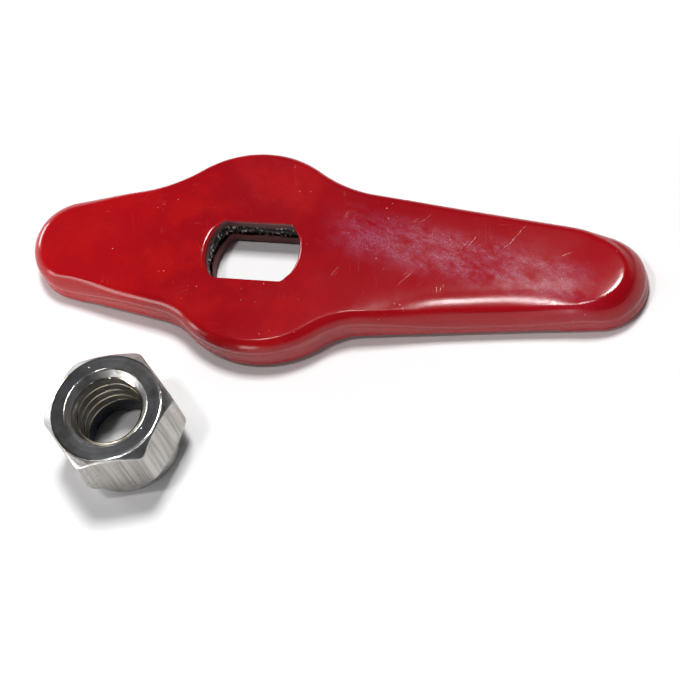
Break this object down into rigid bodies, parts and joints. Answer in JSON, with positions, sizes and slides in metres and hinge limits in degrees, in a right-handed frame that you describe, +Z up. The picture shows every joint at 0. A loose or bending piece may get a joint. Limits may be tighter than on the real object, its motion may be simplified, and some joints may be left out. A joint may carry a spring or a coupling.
{
  "type": "seacock valve handle",
  "caption": "Red dip-coated two-arm lever handle with a double-D stem slot, and its loose hexagon lock nut with a nylon insert.",
  "frame": {"origin": "centre of the bounding box, on the surface that the lever and the nut lie on", "axes": "+X along the lever towards the end of its long arm, +Y from the nut towards the lever, +Z up, along the stem axis and the nut's bore"},
  "size_m": [0.104, 0.0614, 0.014],
  "materials": {
    "bare_steel": "rough punched edge, dark",
    "red_vinyl": "glossy dipped skin, lightly scratched",
    "stainless": "turned and drawn stainless steel",
    "dark_nylon": "smooth dark nylon"
  },
  "bodies": {
    "handle": {"handle_core": "bare_steel", "handle_coating": "red_vinyl"},
    "lock_nut": {"nut_body": "stainless", "nylon_insert": "dark_nylon"}
  },
  "joints": [
    {"name": "nut_turn", "type": "hinge", "parent": "handle", "child": "lock_nut", "pos_m": [-0.02885, -0.02014, 0], "axis": [0, 0, 1], "continuous": true}
  ]
}
